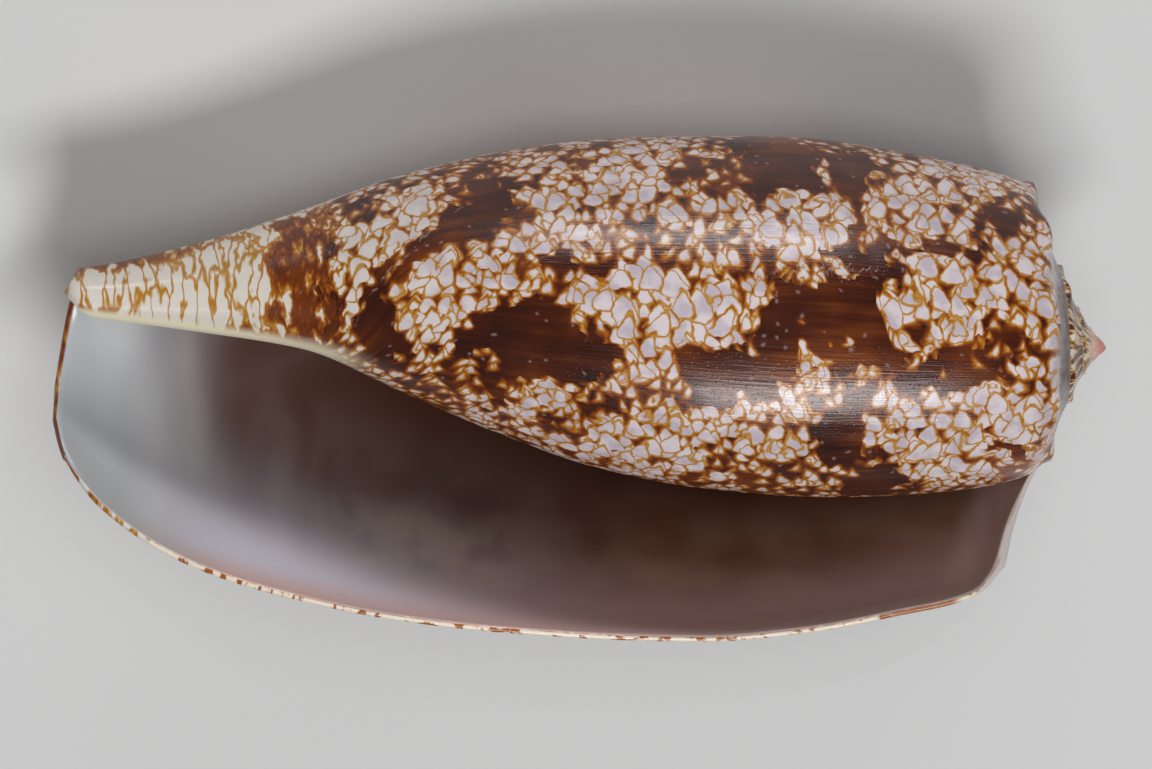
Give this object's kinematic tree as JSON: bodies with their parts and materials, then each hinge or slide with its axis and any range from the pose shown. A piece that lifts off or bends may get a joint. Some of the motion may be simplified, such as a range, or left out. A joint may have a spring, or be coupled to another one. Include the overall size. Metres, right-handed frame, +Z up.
{
  "type": "cone shell",
  "caption": "Large thin inflated cone seashell with a low knobbed spire, netted brown pattern and wide glossy mouth, lying on its back",
  "frame": {"origin": "centre of the box's footprint, on the surface that the shell rests on", "axes": "+X along the shell towards the tip of the spire, +Z up, mouth facing up and to +Y"},
  "size_m": [0.11, 0.0502, 0.0406],
  "materials": {
    "shell": "glossy shell wall, netted orange brown over lilac white outside, pale lilac to smoky brown glaze inside"
  },
  "bodies": {
    "root": {"shell": "shell"}
  },
  "joints": []
}
